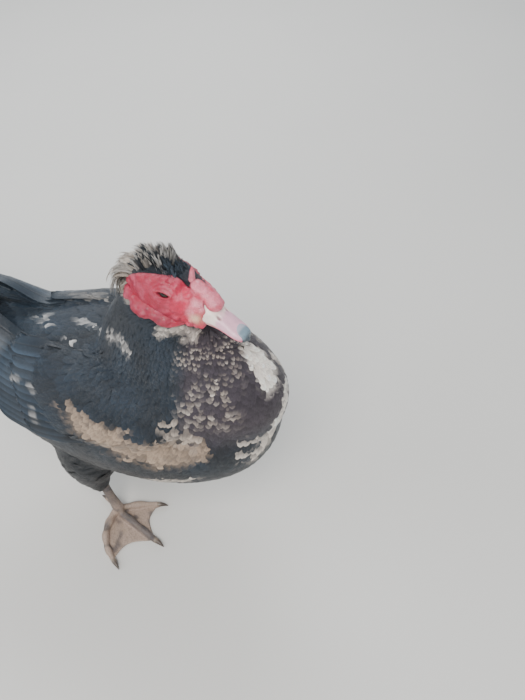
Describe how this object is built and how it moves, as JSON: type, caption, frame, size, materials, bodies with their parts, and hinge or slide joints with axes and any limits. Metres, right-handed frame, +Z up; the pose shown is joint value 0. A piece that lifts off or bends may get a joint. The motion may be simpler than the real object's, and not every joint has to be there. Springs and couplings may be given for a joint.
{
  "type": "muscovy duck",
  "caption": "Life-size still model of a standing muscovy drake, black and pied, with a raised crest and a bare red lumpy face.",
  "frame": {"origin": "on the floor, under the middle of the bird's bounding box", "axes": "+X towards the bill, +Y to the bird's left, +Z up"},
  "size_m": [0.6623, 0.2858, 0.4336],
  "materials": {
    "black_plumage": "soft, slightly glossy black with a blue-green sheen",
    "pied_plumage": "soft, cream mottled with purple-brown",
    "crest_plumage": "soft, black in front and cream behind",
    "face_skin": "lumpy, moist-looking pink-red skin",
    "knob_skin": "lumpy lighter pink skin",
    "bill_horn": "smooth lilac-pink horn",
    "nail_horn": "smooth blue-grey horn",
    "eye": "clear and wet",
    "leg_scale": "scaly, dull tan",
    "claw_horn": "smooth dark horn"
  },
  "bodies": {
    "root": {"torso": "black_plumage", "neck": "pied_plumage", "head": "black_plumage", "crest": "crest_plumage", "knob": "knob_skin", "bill_upper": "bill_horn", "bill_nail": "nail_horn", "bill_lower": "bill_horn", "tail": "black_plumage", "face_left": "face_skin", "eye_left": "eye", "wing_left": "black_plumage", "thigh_left": "black_plumage", "leg_left": "leg_scale", "foot_left": "leg_scale", "claw_outer_left": "claw_horn", "claw_middle_left": "claw_horn", "claw_inner_left": "claw_horn", "claw_hind_left": "claw_horn", "face_right": "face_skin", "eye_right": "eye", "wing_right": "black_plumage", "thigh_right": "black_plumage", "leg_right": "leg_scale", "foot_right": "leg_scale", "claw_outer_right": "claw_horn", "claw_middle_right": "claw_horn", "claw_inner_right": "claw_horn", "claw_hind_right": "claw_horn"}
  },
  "joints": []
}
